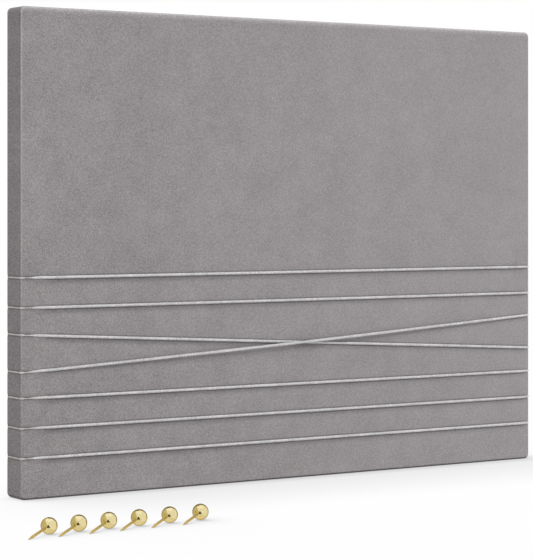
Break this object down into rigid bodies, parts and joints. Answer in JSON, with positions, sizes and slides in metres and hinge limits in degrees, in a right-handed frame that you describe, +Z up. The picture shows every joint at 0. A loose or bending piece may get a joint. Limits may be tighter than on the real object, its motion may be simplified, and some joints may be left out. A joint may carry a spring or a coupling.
{
  "type": "fabric pin board",
  "caption": "Velvet-covered landscape pin board with crossing elastic cords, ring hangers on the back and loose ball-head pins.",
  "frame": {"origin": "middle of the board's bottom edge, on the surface that it stands on", "axes": "+X to the right seen from the front, +Y from the front to the back, +Z up"},
  "size_m": [0.4684, 0.167, 0.3],
  "materials": {
    "velvet": "matte",
    "foam": "matte",
    "fibreboard": "matte",
    "hardboard": "satin",
    "cord": "satin",
    "steel": "satin",
    "rubber": "matte",
    "gold": "polished"
  },
  "bodies": {
    "board": {"core_board": "fibreboard", "foam_pad": "foam", "velvet_cover": "velvet", "backing_board": "hardboard", "elastic_cord_1": "cord", "elastic_cord_2": "cord", "elastic_cord_3": "cord", "elastic_cord_4": "cord", "elastic_cord_5": "cord", "elastic_cord_6": "cord", "elastic_cord_7": "cord", "cord_staple_left_1": "steel", "cord_staple_left_2": "steel", "cord_staple_left_3": "steel", "cord_staple_left_4": "steel", "cord_staple_left_5": "steel", "cord_staple_left_6": "steel", "cord_staple_left_7": "steel", "cord_staple_right_1": "steel", "cord_staple_right_2": "steel", "cord_staple_right_3": "steel", "cord_staple_right_4": "steel", "cord_staple_right_5": "steel", "cord_staple_right_6": "steel", "cord_staple_right_7": "steel", "backing_staple_bottom_1": "steel", "backing_staple_bottom_2": "steel", "backing_staple_bottom_3": "steel", "backing_staple_top_1": "steel", "backing_staple_top_2": "steel", "backing_staple_top_3": "steel", "backing_staple_left": "steel", "backing_staple_right": "steel", "hanger_strap_left": "steel", "hanger_strap_right": "steel", "hanger_rivet_left_1": "steel", "hanger_rivet_left_2": "steel", "hanger_rivet_right_1": "steel", "hanger_rivet_right_2": "steel", "wall_bumper_left": "rubber", "wall_bumper_right": "rubber"},
    "ring_left": {"hanger_ring_left": "steel"},
    "ring_right": {"hanger_ring_right": "steel"},
    "pin_1": {"pin_1_head": "gold", "pin_1_needle": "gold"},
    "pin_2": {"pin_2_head": "gold", "pin_2_needle": "gold"},
    "pin_3": {"pin_3_head": "gold", "pin_3_needle": "gold"},
    "pin_4": {"pin_4_head": "gold", "pin_4_needle": "gold"},
    "pin_5": {"pin_5_head": "gold", "pin_5_needle": "gold"},
    "pin_6": {"pin_6_head": "gold", "pin_6_needle": "gold"}
  },
  "joints": [
    {"name": "ring_left_swing", "type": "hinge", "parent": "board", "child": "ring_left", "pos_m": [-0.12, 0.0145, 0.25], "axis": [1, 0, 0], "range_deg": [0, 180]},
    {"name": "ring_right_swing", "type": "hinge", "parent": "board", "child": "ring_right", "pos_m": [0.12, 0.0145, 0.25], "axis": [1, 0, 0], "range_deg": [0, 180]},
    {"name": "pin_1_lift", "type": "slide", "parent": "board", "child": "pin_1", "axis": [0, 0, 1], "range_m": [0, 0.1]},
    {"name": "pin_2_lift", "type": "slide", "parent": "board", "child": "pin_2", "axis": [0, 0, 1], "range_m": [0, 0.1]},
    {"name": "pin_3_lift", "type": "slide", "parent": "board", "child": "pin_3", "axis": [0, 0, 1], "range_m": [0, 0.1]},
    {"name": "pin_4_lift", "type": "slide", "parent": "board", "child": "pin_4", "axis": [0, 0, 1], "range_m": [0, 0.1]},
    {"name": "pin_5_lift", "type": "slide", "parent": "board", "child": "pin_5", "axis": [0, 0, 1], "range_m": [0, 0.1]},
    {"name": "pin_6_lift", "type": "slide", "parent": "board", "child": "pin_6", "axis": [0, 0, 1], "range_m": [0, 0.1]}
  ]
}
